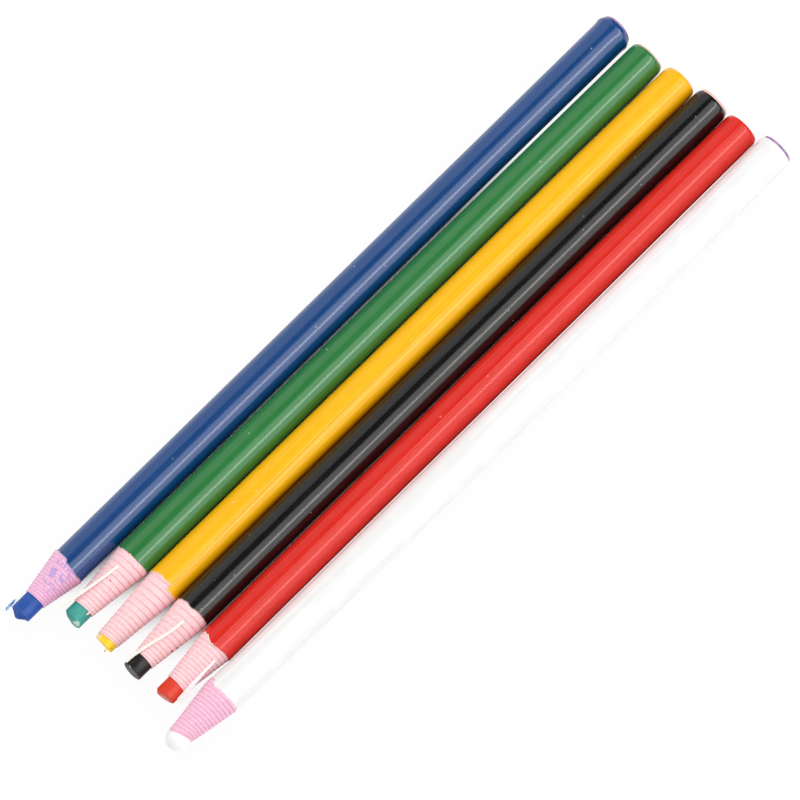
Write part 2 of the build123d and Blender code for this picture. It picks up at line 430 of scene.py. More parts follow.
def wax_finish(colour):
    finish, start, shader, where = new_finish(colour + "_wax")
    body, rubbed = WAX[colour]
    cloud = grain(where, 0.5, 3)
    streaks = grain(where, 1.2, 3, 0.6, stretch=(0.25, 1, 1)).rise(0.5, 0.72)
    pits = grain(where, 4.0, 2)
    tone = (streaks * 0.55 + cloud.rise(0.4, 0.75) * 0.35).held().tint(body, rubbed)
    for point, size, dye, strength in WORN_PATCHES.get(colour, []):
        tone = mark(where, tone, colour, point, size, dye, strength)
    link(start, shader, Base_Color=tone, Roughness=0.34 + 0.2 * cloud + 0.12 * streaks)
    link(start, shader, Normal=bumped(streaks * 0.5 + pits * 0.5, 0.35, 0.05))
    link(start, shader, Subsurface_Weight=0.06, Subsurface_Radius=(0.6 * MM, 0.6 * MM, 0.6 * MM))
    link(start, shader, Specular_IOR_Level=0.35)
    return finish


WAX_FINISHES = {colour: wax_finish(colour) for colour in COLOURS}
for colour in COLOURS:
    put_on(
        colour,
        colour + "_wax_stick",
        wax_stick(colour),
        WAX_FINISHES[colour],
        colour + "_wax",
        colour + "_core",
    )


# Wound paper
# One long strip of soft dyed paper, wound round the core and glued as it goes. Where it has been peeled
# away it leaves a cone whose edge climbs in one spiral of steps, each a paper's thickness high.

# Radius of the roll's bore, of the roll, and of the cone where the sleeve covers it
BORE = 2.28
WRAP_RADIUS = 3.82
TUCKED_RADIUS = 3.83
TUCKED_AHEAD = 0.03
ROWS_A_TURN = 10
PAPER_COLUMNS = 180
# Width of the bared paper at the front and at the sleeve, and the height of each step
BAND = dict(
    blue=(0.6, 0.8),
    green=(0.75, 1.5),
    yellow=(0.68, 1.7),
    black=(0.72, 1.5),
    red=(0.76, 1.02),
    white=(0.74, 0.88),
)
PAPER_STEP = 0.1
# Share of a turn that the step's rise takes, how far the edge wavers, how far the paper swells, and how
# far the cone runs on under the sleeve
LIP = 0.045
EDGE_WAVER = 0.14
PAPER_SWELL = 0.08
UNDER_SLEEVE = 0.35
# Radius of the cone at its front and at the sleeve, under the step
CONE_RADII = dict(
    blue=(2.4, 4.18),
    green=(2.38, 3.98),
    yellow=(2.38, 3.82),
    black=(2.38, 3.95),
    red=(2.4, 3.78),
    white=(2.4, 4.12),
)
# The back rim is pressed in a little by the trimming knife
RIM_RUN = 1.0
RIM_DROP = 0.28

# Torn front edge of the sleeve that holds the paper: (turn, length from the back end)
TORN_EDGE = dict(
    blue=[
        (-180, 161.6), (-110, 160.8), (-77, 160.65), (-30, 160.95), (-4, 161.15),
        (2, 161.75), (30, 161.9), (54, 162.0), (103, 161.7), (180, 161.6),
    ],
    green=[
        (-180, 151.5), (-90, 151.5), (-51, 151.75), (-30, 151.75), (-5, 151.63),
        (30, 151.6), (60, 151.5), (90, 151.3), (180, 151.5),
    ],
    yellow=[
        (-180, 152.0), (-75, 151.8), (-47, 151.65), (-14, 151.35),
        (10, 151.5), (26.6, 151.3), (27.4, 152.6), (70, 152.6), (180, 152.4),
    ],
    black=[
        (-180, 152.8), (-66, 152.9), (-40, 152.75), (-19, 152.65), (-1, 152.97),
        (25, 152.55), (80, 152.7), (180, 153.0),
    ],
    red=[
        (-180, 155.0), (-62, 154.75), (-52, 155.2), (-46, 154.9), (-39, 155.35),
        (-32, 155.1), (-24, 155.5), (-14, 155.9), (-3, 156.2), (4, 155.9),
        (13, 155.7), (23, 155.65), (47, 155.3), (82, 155.3), (180, 155.0),
    ],
    white=[
        (-180, 162.6), (-80, 162.4), (-77, 161.7), (-42, 161.7), (-36, 162.75),
        (13, 162.8), (60, 162.65), (103, 162.5), (180, 162.6),
    ],
)
# Depth of the tear's teeth and of the fray on them
TOOTH = 0.14
FRAY = 0.07


def torn_edge(colour, turn):
    """Length of the sleeve at a turn, with the fine teeth of a tear."""
    turn = (turn + 180) % 360 - 180
    way = spot(0, turn, 1)
    tooth = noise.noise(way * 6 + Vector((SLEEVE[colour], 0, 0)))
    fray = noise.noise(way * 26 + Vector((SLEEVE[colour] + 7, 0, 0)))
    return between(TORN_EDGE[colour], turn) + TOOTH * tooth + FRAY * fray


def sized_tree(name, **inputs):
    """An empty node tree with the labels of its inputs listed by kind."""
    tree = bpy.data.node_groups.new(name, "GeometryNodeTree")
    for kind, labels in inputs.items():
        for label in labels:
            tree.interface.new_socket(label, in_out="INPUT", socket_type="NodeSocket" + kind)
    tree.interface.new_socket("Geometry", in_out="OUTPUT", socket_type="NodeSocketGeometry")
    return tree


def end_tree(made, material):
    """Ends a tree with plain geometry in its material."""
    solid = made.node("GeometryNodeRealizeInstances", None, {"Geometry": made})
    done = made.node("GeometryNodeSetMaterial", None, {"Geometry": solid, "Material": material})
    end = made.tree.nodes.new("NodeGroupOutput")
    made.tree.links.new(done.socket, end.inputs["Geometry"])
    return made.tree


def wound_paper_tree():
    """A skin that follows the strip's edge, its rows along the spiral, its columns along the marker."""
    tree = sized_tree(
        "wound_paper",
        Int=["Columns", "Rows"],
        Float=[
            "Turns", "First Band", "Band Growth", "Step", "Front", "Front Radius", "Sleeve Radius",
            "Cone Length", "Back", "Slant", "Slant Turn", "Seed",
        ],
        Material=["Paper"],
    )
    start = Field(tree)
    size = start.node("NodeGroupInput").also
    rows = size("Rows")
    grid = start.node(
        "GeometryNodeMeshGrid",
        None,
        {"Size X": 1.0, "Size Y": 1.0, "Vertices X": size("Columns"), "Vertices Y": rows},
    )
    flat = start.node("ShaderNodeSeparateXYZ", None, {0: start.node("GeometryNodeInputPosition")})
    around = flat + 0.5
    row = ((flat.also("Y") + 0.5) * (rows - 1)).math("ROUND")

    # Rows crowd to the step at each whole turn
    raw = (row - 1) / ROWS_A_TURN - 1
    part = raw.math("FRACT")
    crowded = raw.math("FLOOR") + part * part * (3 - 2 * part)
    wound = (crowded + around).math("MAXIMUM", 0).math("MINIMUM", size("Turns"))
    phase = (wound - around).math("FRACT")
    step = (phase / LIP).math("MINIMUM", (1 - phase) / (1 - LIP))
    run = wound * size("First Band") + wound * wound * size("Band Growth")
    share = (run / size("Cone Length")).held()

    # The last rows lie on the roll under the sleeve, its rim, and the bore
    last = rows - 1
    bore_front = (row.math("LESS_THAN", 0.5) + row.math("GREATER_THAN", last - 0.5)).held()
    bore_back = row.math("COMPARE", last - 1, 0.5)
    outer_back = row.math("COMPARE", last - 2, 0.5)
    outer_rim = row.math("COMPARE", last - 3, 0.5)
    outer_front = row.math("COMPARE", last - 4, 0.5)
    bore = bore_front + bore_back
    roll = outer_front + outer_rim + outer_back
    cone = 1 - bore - roll
    behind = bore_back + outer_back

    # The grid's two sides meet underneath
    angle = (around + 0.5) * tau
    side = angle.math("SINE")
    up = angle.math("COSINE")
    tilt = (angle - size("Slant Turn") * (pi / 180)).math("COSINE") * size("Slant")
    tilt = tilt * (cone * (1 - wound / 3).math("MAXIMUM", 0) + bore_front)
    ahead = size("Front") - run * (cone + outer_front) + tilt
    ahead = ahead * (1 - behind - outer_rim) - size("Back") * behind + outer_rim * RIM_RUN
    climb = (size("Sleeve Radius") - size("Front Radius")) * share
    paper_out = size("Front Radius") + climb + size("Step") * step
    out = cone * paper_out + bore * BORE + roll * WRAP_RADIUS - outer_back * RIM_DROP

    # Hand-wound paper wavers a little along its edge and swells between the steps
    here = start.node("ShaderNodeCombineXYZ", None, {"X": ahead, "Y": side * out, "Z": up * out})
    drift = start.node(
        "ShaderNodeTexNoise",
        dict(noise_dimensions="4D"),
        {"Vector": here, "W": size("Seed"), "Scale": 0.55, "Detail": 3.0},
    )
    swell = start.node(
        "ShaderNodeTexNoise",
        dict(noise_dimensions="4D"),
        {"Vector": here, "W": size("Seed") + 9, "Scale": 1.1, "Detail": 2.0},
    )
    ahead = ahead + (drift - 0.5) * cone * EDGE_WAVER
    out = out + (swell - 0.55) * cone * (1 - share * 0.5) * PAPER_SWELL
    place = start.node("ShaderNodeCombineXYZ", None, {"X": ahead, "Y": side * out, "Z": up * out})
    # edge marks each step's rise and the foot just ahead of it, where the paper's finish paints shade
    edge = (1 - phase / LIP).math("MAXIMUM", (phase - 0.87) * 10).held() * cone
    sheet = grid
    stored = dict(edge=edge, phase=phase, layer=out, wound=wound, side=side)
    for name, value in stored.items():
        sheet = start.node(
            "GeometryNodeStoreNamedAttribute",
            dict(data_type="FLOAT", domain="POINT"),
            {"Geometry": sheet, "Name": name, "Value": value},
        )
    laid = start.node("GeometryNodeSetPosition", None, {"Geometry": sheet, "Position": place})
    joined = start.node("GeometryNodeMergeByDistance", None, {"Geometry": laid, "Distance": MERGED})
    return end_tree(joined, size("Paper"))


def grown(tree, source, **inputs):
    """Plain mesh of a node tree, run on a source object with each named input set by its identifier."""
    bpy.context.scene.collection.objects.link(source)
    modifier = source.modifiers.new("grown", "NODES")
    modifier.node_group = tree
    for socket in tree.interface.items_tree:
        if socket.in_out == "INPUT" and socket.name in inputs:
            modifier[socket.identifier] = inputs[socket.name]
    depsgraph = bpy.context.evaluated_depsgraph_get()
    mesh = bpy.data.meshes.new_from_object(source.evaluated_get(depsgraph), depsgraph=depsgraph)
    source.modifiers.remove(modifier)
    bpy.data.objects.remove(source)
    return mesh


def tucked(colour, mesh):
    """Draws the paper in wherever the sleeve covers it."""
    for vertex in mesh.vertices:
        out = Vector((vertex.co.y, vertex.co.z)).length
        turn = degrees(atan2(vertex.co.y, vertex.co.z))
        if out > TUCKED_RADIUS and vertex.co.x < torn_edge(colour, turn) + TUCKED_AHEAD:
            vertex.co.y *= TUCKED_RADIUS / out
            vertex.co.z *= TUCKED_RADIUS / out
    return mesh


# Colour of the paper in its hollows and where it stands out, and the painted shade in the steps along its
# edge
PINK = ((0.98, 0.6, 0.62, 1), (1.0, 0.72, 0.74, 1), (0.76, 0.13, 0.21, 1))
PAPER_DYE_AND_SHADE = dict(
    blue=((0.87, 0.48, 0.68, 1), (0.93, 0.58, 0.77, 1), (0.55, 0.1, 0.32, 1)),
    green=PINK,
    yellow=PINK,
    black=PINK,
    red=PINK,
    white=((0.9, 0.5, 0.66, 1), (0.95, 0.61, 0.74, 1), (0.58, 0.16, 0.34, 1)),
)
PAPER_OF = dict(blue="lilac", green="pink", yellow="pink", black="pink", red="pink", white="lilac")
# Colour given in patches to the paper's cut back end, where it stands out behind the sleeve
CUT_END = dict(
    blue=(0.15, 0.05, 0.22, 1),
    green=(0.7, 0.42, 0.36, 1),
    yellow=(0.85, 0.3, 0.02, 1),
    black=(0.8, 0.5, 0.4, 1),
    red=(0.7, 0.06, 0.03, 1),
    white=(0.16, 0.07, 0.33, 1),
)
BLUE_SMUDGE = (0.26, 0.3, 0.76, 1)


def attribute(start, name):
    return start.node("ShaderNodeAttribute", dict(attribute_name=name), None, output="Fac")


def paper_finish(colour):
    finish, start, shader, where = new_finish(colour + "_paper")
    # line is the colour of the painted shade in the steps
    deep, pale, line = PAPER_DYE_AND_SHADE[colour]
    pulp = grain(where, 1.6, 4, 0.65)
    fibres = grain(where, 5.0, 3, 0.6, stretch=(1, 0.35, 0.35))
    tone = pulp.rise(0.35, 0.7).tint(deep, pale)
    edge = attribute(start, "edge")
    side = attribute(start, "side")
    worn = grain(where, 0.8, 2).rise(0.25, 0.6)
    lower = side.rise(-0.9, 0.9)
    # Painted shade: lilac paper turns deeper in colour towards the white side of the cone
    if PAPER_OF[colour] == "lilac":
        tone = (side.rise(0.1, 1.0) * 0.12).tint(tone, line)
    # Painted shade in the steps, deeper towards the white side through lower; the noise named worn only
    # makes this painted shade patchy
    tone = (edge * (0.12 + 0.58 * lower) * (0.55 + 0.45 * worn)).tint(tone, line)
    if colour == "blue":
        # Blue wax caught in the steps over the middle of the cone
        wound = attribute(start, "wound")
        phase = attribute(start, "phase")
        middle = side.rise(-0.5, -0.3) * (1 - side.rise(0.55, 0.75)) * wound.rise(2.5, 5.0)
        caught = phase.rise(0.05, 0.3) * (1 - phase.rise(0.75, 0.95))
        blots = grain(where, 1.25, 1) + 0.05 * wound.rise(4.0, 13.0)
        tone = (caught * middle * blots.rise(0.53, 0.63) * 0.75).tint(tone, BLUE_SMUDGE)
    if colour == "green":
        tone = mark(where, tone, colour, spot(158.3, 9.4, 3.45), 0.32, (0.8, 0.1, 0.2, 1))
    if colour == "black":
        tone = mark(where, tone, colour, spot(161.5, 79, 3.04), 0.38, (0.2, 0.08, 0.06, 1))
        tone = mark(where, tone, colour, spot(160.2, 84, 3.19), 0.34, (0.2, 0.08, 0.06, 1))
    # Cut back end: the turns of the strip show as fine rings
    rings = (attribute(start, "layer") * 7).math("FRACT").rise(0.6, 1.0)
    apart = start.node("ShaderNodeSeparateXYZ", None, {0: where})
    cut = (apart - PLACES[colour].translation.x).rise(0.0, 0.05 * MM)
    cut_patches = grain(where, 0.7, 3).rise(0.35, 0.65)
    tone = (cut * (0.5 + 0.35 * cut_patches + 0.15 * rings)).held().tint(tone, CUT_END[colour])
    link(start, shader, Base_Color=tone, Normal=bumped(pulp * 0.5 + fibres * 0.5, 0.5, 0.06))
    link(start, shader, Roughness=0.88, Specular_IOR_Level=0.25)
    link(start, shader, Subsurface_Weight=0.2, Subsurface_Radius=(0.5 * MM, 0.22 * MM, 0.22 * MM))
    return finish


def wound_paper(colour, seed, finish):
    """Paper of one marker, its cone run on under the torn sleeve far enough to leave no gap."""
    first, last = BAND[colour]
    front_radius, sleeve_radius = CONE_RADII[colour]
    slant, slant_turn = PAPER_SLANT[colour]
    growth = (last - first) * (first + last) / (4 * CONE[colour])
    shortest = min(edge for turn, edge in TORN_EDGE[colour])
    length = CONE[colour] + SLEEVE[colour] - shortest + UNDER_SLEEVE
    turns = ((first * first + 4 * growth * length) ** 0.5 - first) / (2 * growth)
    mesh = grown(
        paper_tree,
        bpy.data.objects.new("paper", bpy.data.meshes.new("paper")),
        **{
            "Columns": PAPER_COLUMNS + 1,
            "Rows": ROWS_A_TURN * (int(turns) + 3) + 6,
            "Turns": turns,
            "First Band": first,
            "Band Growth": growth,
            "Step": PAPER_STEP,
            "Front": SLEEVE[colour] + CONE[colour],
            "Front Radius": front_radius,
            "Sleeve Radius": sleeve_radius,
            "Cone Length": CONE[colour],
            "Back": PAPER_PROUD[colour],
            "Slant": slant,
            "Slant Turn": float(slant_turn),
            "Seed": seed,
            "Paper": finish,
        },
    )
    return tidy_mesh(tucked(colour, mesh), 50)


paper_tree = wound_paper_tree()
PAPER_FINISHES = {colour: paper_finish(colour) for colour in COLOURS}
for number, colour in enumerate(COLOURS):
    finish = PAPER_FINISHES[colour]
    mesh = wound_paper(colour, 3.0 + number, finish)
    put_on(
        colour,
        colour + "_wound_paper",
        mesh,
        finish,
        PAPER_OF[colour] + "_paper",
        colour + "_paper_wrap",
    )


# Pull strings
# A twisted cotton thread laid in the paper for the marker's whole length. On the green, black and red
# markers its end has been pulled out through a slit in the cone and lies loose along it.

# Thickness of the string, its distance from the axis inside the paper, and the length of its twist
STRING = 0.55
STRING_RUN = 2.94
STRING_TWIST = 1.9
# How far the string's cut end stands out behind the paper, where its front end stops inside the slit, and
# how far before that it bends out
STRING_PROUD = 0.03
SLIT_OUT = 3.38
SLIT_SHORT = 0.05
SLIT_BEND = 0.4
# Spacing of the rings along the buried string and along the loose thread
RUN_SPACING = 0.3
LOOSE_SPACING = 0.06
# Turn at which the string lies in the paper, and how far ahead of the sleeve it comes out
STRING_TURN = dict(blue=150, green=-7.7, yellow=-120, black=18.6, red=45.3, white=130)
STRING_EXIT = dict(green=3.2, black=2.85, red=2.35)
# Loose strands: width and thickness against the plain thread, millimetres for each turn of the twist,
# and the way over the cone (ahead, white side, up). The red one is flattened and frays into three.
LOOSE_END = dict(
    green=[
        (1.2, 1.2, 2.6, [
            (155.05, -0.37, 3.75), (157.5, -0.65, 3.72), (160.7, -1.2, 3.45),
            (164.3, -1.94, 3.0), (166.8, -2.55, 2.7), (169.0, -2.97, 2.4),
        ]),
    ],
    black=[
        (1.25, 1.25, 2.8, [
            (155.95, 0.91, 3.8), (158.85, 0.63, 3.68), (160.8, 0.18, 3.5), (163.7, -0.62, 3.15),
            (166.9, -1.46, 2.6), (168.4, -1.76, 2.2), (169.75, -1.88, 1.9),
        ]),
    ],
    red=[
        (1.05, 0.4, 300.0, [
            (157.75, 2.6, 2.77), (159.7, 2.62, 2.45), (162.1, 2.62, 2.02),
            (164.4, 2.68, 1.5), (166.1, 2.75, 0.98), (168.75, 2.85, 0.5),
        ]),
        (0.75, 0.35, 300.0, [
            (158.6, 2.55, 2.7), (161.0, 2.45, 2.3), (164.0, 2.4, 1.7),
            (166.5, 2.42, 1.05), (168.4, 2.45, 0.7),
        ]),
        (0.55, 0.35, 300.0, [
            (160.5, 2.75, 2.2), (163.5, 2.95, 1.55), (166.0, 3.15, 0.95), (168.5, 3.3, 0.4),
        ]),
    ],
)


def thread_tree():
    """A thread of twisted strands along a curve."""
    tree = sized_tree(
        "cotton_thread",
        Geometry=["Geometry"],
        Float=["Diameter", "Width", "Thickness", "Twist Length", "Spacing"],
        Material=["Cotton"],
    )
    start = Field(tree)
    size = start.node("NodeGroupInput").also
    path = start.node(
        "GeometryNodeResampleCurve",
        dict(mode="LENGTH"),
        {"Curve": size("Geometry"), "Length": size("Spacing")},
    )
    along = start.node("GeometryNodeSplineParameter", output="Length")
    path = start.node("GeometryNodeSetCurveNormal", dict(mode="Z_UP"), {"Curve": path})
    path = start.node(
        "GeometryNodeSetCurveTilt", None, {"Curve": path, "Tilt": along / size("Twist Length") * tau}
    )
    ring = start.node("GeometryNodeCurvePrimitiveCircle", None, {"Resolution": 24, "Radius": 1.0})
    spread = start.node("ShaderNodeSeparateXYZ", None, {0: start.node("GeometryNodeInputPosition")})
    turn = spread.also("Y").math("ARCTAN2", spread)
    bulge = 0.84 + 0.16 * (turn * 1.5).math("COSINE").math("ABSOLUTE")
    half = size("Diameter") / 2
    shape = start.node(
        "ShaderNodeCombineXYZ",
        None,
        {
            "X": spread * bulge * half * size("Width"),
            "Y": spread.also("Y") * bulge * half * size("Thickness"),
        },
    )
    ring = start.node("GeometryNodeSetPosition", None, {"Geometry": ring, "Position": shape})
    thread = start.node(
        "GeometryNodeCurveToMesh", None, {"Curve": path, "Profile Curve": ring, "Fill Caps": True}
    )
    return end_tree(thread, size("Cotton"))


def cotton_finish(name, deep, pale):
    finish, start, shader, where = new_finish(name)
    lint = grain(where, 3.0, 4, 0.7)
    tone = lint.rise(0.3, 0.7).tint(deep, pale)
    link(start, shader, Base_Color=tone, Normal=bumped(lint, 0.4, 0.03))
    link(start, shader, Roughness=0.92, Specular_IOR_Level=0.2)
    return finish


def smooth_line(points):
    """Curve object with one smooth open spline that takes the points as its controls."""
    line = bpy.data.curves.new("thread", "CURVE")
    line.dimensions = "3D"
    spline = line.splines.new("NURBS")
    spline.points.add(len(points) - 1)
    for point, place in zip(spline.points, points):
        point.co = (*place, 1)
    spline.use_endpoint_u = True
    spline.order_u = 3
    spline.resolution_u = 24
    return bpy.data.objects.new("thread", line)


def thread(points, width, thickness, twist, spacing):
    return grown(
        string_tree,
        smooth_line(points),
        **{
            "Diameter": STRING,
            "Width": width,
            "Thickness": thickness,
            "Twist Length": twist,
            "Spacing": spacing,
            "Cotton": cotton,
        },
    )


def as_one(meshes):
    """Several meshes in one."""
    work = bmesh.new()
    for mesh in meshes:
        work.from_mesh(mesh)
    joined = bpy.data.meshes.new("joined")
    work.to_mesh(joined)
    work.free()
    return tidy_mesh(joined, 60)


string_tree = thread_tree()
cotton = cotton_finish("cotton", (0.95, 0.9, 0.81, 1), (0.99, 0.96, 0.9, 1))
white_cotton = cotton_finish("white_cotton", (0.97, 0.93, 0.94, 1), (0.99, 0.97, 0.98, 1))
for colour in COLOURS:
    turn = STRING_TURN[colour]
    run = [spot(ahead, turn, STRING_RUN) for ahead in (-PAPER_PROUD[colour] - STRING_PROUD, 60, 120)]
    if colour in STRING_EXIT:
        leaves = SLEEVE[colour] + STRING_EXIT[colour]
        run += [spot(leaves - SLIT_BEND, turn, STRING_RUN), spot(leaves - SLIT_SHORT, turn, SLIT_OUT)]
    else:
        run += [spot(SLEEVE[colour], turn, STRING_RUN)]
    mesh = as_one([thread(run, 1.0, 1.0, STRING_TWIST, RUN_SPACING)])
    put_on(colour, colour + "_string_run", mesh, cotton, "string", colour + "_pull_string")

for colour, strands in LOOSE_END.items():
    mesh = as_one([thread(way, wide, thick, twist, LOOSE_SPACING) for wide, thick, twist, way in strands])
    finish = white_cotton if colour == "red" else cotton
    put_on(
        colour,
        colour + "_loose_thread",
        mesh,
        finish,
        "string",
        colour + "_string_tail",
        body=colour + "_tail",
    )


# Sleeves
# A thin sheet of lacquered paper rolled round the marker and lapped along one long seam. Its front edge
# is torn unevenly where the marker has been peeled, and the back end is trimmed square.

# Radius of the sleeve outside and inside, the rise of its lap, and the depth of its slow waves
BARREL = 4.0
SLEEVE_BORE = 3.85
LAP_RISE = 0.06
SLEEVE_WAVE = 0.012
# Lapped edge: its turn at the front and at the back
LAP = dict(
    blue=(4, -2),
    green=(-62, -58),
    yellow=(27.5, -9.5),
    black=(-42, -46),
    red=(6, 3),
    white=(-27, -24),
)
# Lip pushed outwards at the back end by the knife
FLARED = dict(blue=0.16)
# Width of the border behind the torn edge, and how far the edge lifts off the paper
TORN_BORDER = 0.7
TORN_LIFT = 0.07


def lap_height(off):
    """Height of the lap at degrees off its edge: a sharp step on one side, a long fade on the other."""
    return LAP_RISE * between([(-70, 0), (-25, 0.8), (-0.35, 1), (0.35, 0), (70, 0)], off)


def sleeve_skin(colour):
    """Sleeve as rings from its torn front edge to the back, and home again along its bore."""
    length = SLEEVE[colour]
    front, back = LAP[colour]
    near = [-2, -1.2, -0.7, -0.35, 0.35, 0.7, 1.2, 2]
    offs = [-180 + 2 * i for i in range(89)] + near + [4 + 2 * i for i in range(88)]
    turns = [front + off for off in offs]
    edges = [torn_edge(colour, turn) for turn in turns]
    lifts = [TORN_LIFT * max(0.0, noise.noise(spot(length, turn, 3.4))) for turn in turns]
    rings, off_lap, length_on, torn = [], [], [], []

    def add(aheads, outs, border):
        laps = [back + (front - back) * min(1.0, ahead / length) for ahead in aheads]
        rings.append([spot(a, lap + off, out) for a, lap, off, out in zip(aheads, laps, offs, outs)])
        off_lap.append(offs)
        length_on.append(aheads)
        torn.append([border] * len(offs))

    def outer(ahead, off):
        rim = max(0.0, 1 - ahead / RIM_RUN)
        lip = max(0.0, 1 - abs(ahead - RIM_RUN) / RIM_RUN)
        wave = SLEEVE_WAVE * noise.noise(spot(ahead * 0.05, off, 1.6))
        flare = FLARED.get(colour, 0) * lip * lip * (3 - 2 * lip)
        return BARREL + lap_height(off) + flare + wave - RIM_DROP * rim * rim

    for behind, worn in [(0, 0.07), (0.02, 0.03), (0.06, 0.01), (0.15, 0), (0.35, 0), (TORN_BORDER, 0)]:
        fade = 1 - behind / TORN_BORDER
        aheads = [edge - behind for edge in edges]
        outs = [outer(a, off) - worn + lift * fade for a, off, lift in zip(aheads, offs, lifts)]
        add(aheads, outs, fade)
    stations = [length - 2.5, length - 5, length - 10]
    stations += [length - 10 - (length - 14) * i / 24 for i in range(1, 25)]
    stations += [2.5, 1.6, 1.2, 1.0, 0.8, 0.6, 0.4, 0.25, 0.12, 0.04]
    for ahead in stations:
        add([ahead] * len(offs), [outer(ahead, off) for off in offs], 0)
    add([0] * len(offs), [outer(0, off) - 0.04 for off in offs], 0)
    add([0] * len(offs), [SLEEVE_BORE - RIM_DROP] * len(offs), 0)
    add([RIM_RUN / 2] * len(offs), [SLEEVE_BORE - RIM_DROP / 4] * len(offs), 0)
    add([RIM_RUN] * len(offs), [SLEEVE_BORE] * len(offs), 0)
    add([edge - 0.4 for edge in edges], [SLEEVE_BORE] * len(offs), 0)
    add([edge - 0.02 for edge in edges], [SLEEVE_BORE + 0.02 + 0.8 * lift for lift in lifts], 1)
    return ring_skin(rings, closed=True, off_lap=off_lap, length_on=length_on, torn=torn)


LACQUER = dict(
    blue=(0.002, 0.052, 0.205, 1),
    green=(0.02, 0.185, 0.04, 1),
    yellow=(1.0, 0.47, 0.0, 1),
    black=(0.0045, 0.004, 0.0042, 1),
    red=(0.68, 0.016, 0.007, 1),
    white=(0.83, 0.83, 0.825, 1),
)
# Sheen: index of refraction, roughness, and the depth of the lacquer's own ripple
SHEEN = dict(
    blue=(1.68, 0.14, 0.015),
    green=(1.62, 0.14, 0.015),
    yellow=(1.42, 0.14, 0.015),
    black=(1.58, 0.12, 0.07),
    red=(1.45, 0.14, 0.015),
    white=(1.5, 0.3, 0.03),
)
# Paper that shows along the torn front edge: colour, width as a share of the border, and strength
TORN_PAPER = dict(
    blue=((0.35, 0.45, 0.7, 1), 0.2, 0.6),
    green=((0.3, 0.5, 0.3, 1), 0.15, 0.5),
    yellow=((0.98, 0.85, 0.6, 1), 0.2, 0.8),
    black=((0.5, 0.42, 0.36, 1), 0.18, 0.7),
    red=((0.99, 0.93, 0.92, 1), 0.4, 0.95),
    white=((0.93, 0.92, 0.9, 1), 0.2, 0.6),
)
# Dust specks for each millimetre, and painted shade: a deeper colour on the side of a sleeve that turns
# away from the light
DUSTY = dict(black=0.36)
SHADED_SIDE = dict(yellow=(0.95, 0.27, 0.0, 1))
# Line along the lapped edge: colour, strength, and the length it starts from
LAP_LINE = dict(
    yellow=((0.5, 0.17, 0.0, 1), 0.5, 60),
    red=((0.95, 0.3, 0.24, 1), 0.3, 0),
    blue=((0.002, 0.02, 0.09, 1), 0.5, 0),
)


def lacquer_finish(colour):
    finish, start, shader, where = new_finish(colour + "_lacquer")
    body = LACQUER[colour]
    index, rough, ripple = SHEEN[colour]
    pale = tuple(min(1.0, c * 1.25 + 0.008) for c in body[:3]) + (1,)
    drawn = grain(where, 1.5, 4, 0.6, stretch=(0.03, 1, 1))
    mottle = grain(where, 0.25, 3)
    peel = grain(where, 1.4, 3, 0.55, stretch=(0.5, 1, 1))
    specks = start.node(
        "ShaderNodeTexVoronoi", None, {"Vector": where, "Scale": DUSTY.get(colour, 0.22) / MM}
    )
    dust = 1 - specks.rise(0.02, 0.055)
    tone = (drawn.rise(0.4, 0.75) * 0.35 + mottle.rise(0.4, 0.7) * 0.2).held().tint(body, pale)
    tone = (dust * 0.5).tint(tone, (0.8, 0.8, 0.75, 1))
    if colour == "black":
        tone = (grain(where, 2.5, 4, 0.7).rise(0.5, 0.8) * 0.35).tint(tone, (0.06, 0.054, 0.05, 1))
    # Painted shade: the yellow sleeve turns deeper orange from 50 to 88 degrees round, on its shaded side
    if colour in SHADED_SIDE:
        front, back = LAP[colour]
        lap = back + attribute(start, "length_on") * ((front - back) / SLEEVE[colour])
        tone = (attribute(start, "off_lap") + lap).rise(50, 88).tint(tone, SHADED_SIDE[colour])
    if colour in LAP_LINE:
        dye, strength, begins = LAP_LINE[colour]
        thin = 1 - attribute(start, "off_lap").math("ABSOLUTE").rise(0.5, 1.5)
        along = attribute(start, "length_on").rise(begins - 20, begins + 20)
        tone = (thin * along * strength).tint(tone, dye)
    bare, width, strength = TORN_PAPER[colour]
    ragged = attribute(start, "torn") + (grain(where, 2.5, 3) - 0.5) * 0.8 * width
    fringe = ragged.rise(1 - width, 1 - 0.75 * width)
    if colour == "red":
        off = attribute(start, "off_lap")
        fringe = fringe * off.rise(-75, -60) * (1 - off.rise(-8, 0))
    tone = (fringe * strength).tint(tone, bare)
    link(start, shader, Base_Color=tone, Roughness=rough + 0.08 * drawn + 0.25 * dust + 0.5 * fringe)
    link(start, shader, Normal=bumped(drawn * 0.5 + peel * 0.5 + dust * 0.3, 0.3, ripple))
    link(start, shader, IOR=index)
    return finish


for colour in COLOURS:
    put_on(
        colour,
        colour + "_lacquered_sleeve",
        sleeve_skin(colour),
        lacquer_finish(colour),
        colour + "_lacquer",
        colour + "_sleeve",
    )


# Loose scraps
# Small bits left by use that lie on the markers: a curl of blue wax beside its tip, a crumb of yellow
# wax, a flake of paper at the green cone's front, and a fibre caught on the red sleeve.

SCRAP_POINTS = 12


def scrap(lie, stations):
    """A thin scrap through stations of (place, width, thickness), its width turned by lie from level."""
    across = spot(0, 90 + lie, 1)
    out = spot(0, lie, 1)
    turns = [tau * i / SCRAP_POINTS for i in range(SCRAP_POINTS)]
    rings = []
    for place, wide, thick in stations:
        middle = Vector(place)
        rings.append([middle + across * cos(t) * wide / 2 + out * sin(t) * thick / 2 for t in turns])
    return ring_skin(rings, closed=False)


def plain_finish(name, deep, pale, roughness):
    finish, start, shader, where = new_finish(name)
    link(start, shader, Base_Color=grain(where, 1.2, 3).rise(0.38, 0.58).tint(deep, pale))
    link(start, shader, Roughness=roughness)
    return finish


